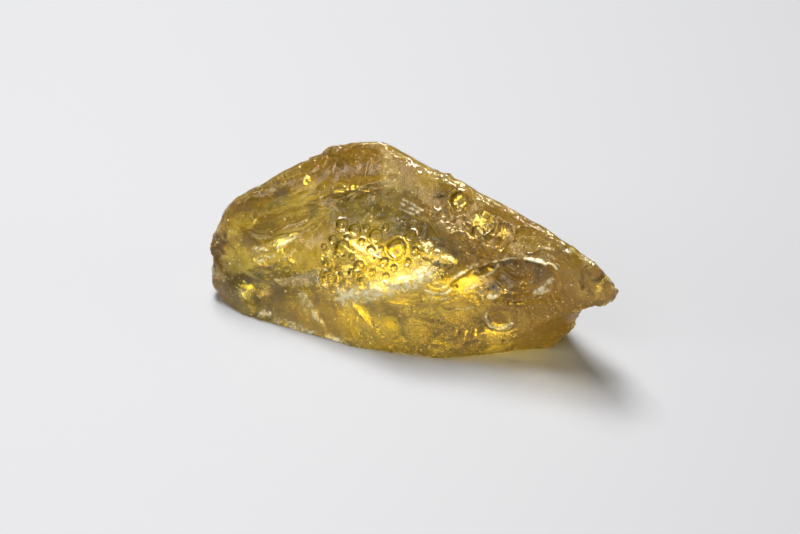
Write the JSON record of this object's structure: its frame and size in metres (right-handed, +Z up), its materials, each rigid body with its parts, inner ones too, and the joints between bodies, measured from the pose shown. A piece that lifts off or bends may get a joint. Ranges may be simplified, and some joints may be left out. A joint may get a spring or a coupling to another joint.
{
  "type": "raw copal",
  "caption": "Raw lump of clear golden copal resin: a blunt shard with shell-shaped fracture scars, a crest and an overhanging beak at one end, resting on a flat facet.",
  "frame": {"origin": "middle of the bounding box, on the surface that the lump rests on", "axes": "+X along the lump's length, from the blunt end towards the beak; +Y towards the back; +Z up, away from the flat facet"},
  "size_m": [0.0376, 0.02, 0.0176],
  "materials": {
    "copal": "clear golden resin, glossy on the fresh scars and frosted on the worn slope and edges"
  },
  "bodies": {
    "root": {"copal_lump": "copal"}
  },
  "joints": []
}
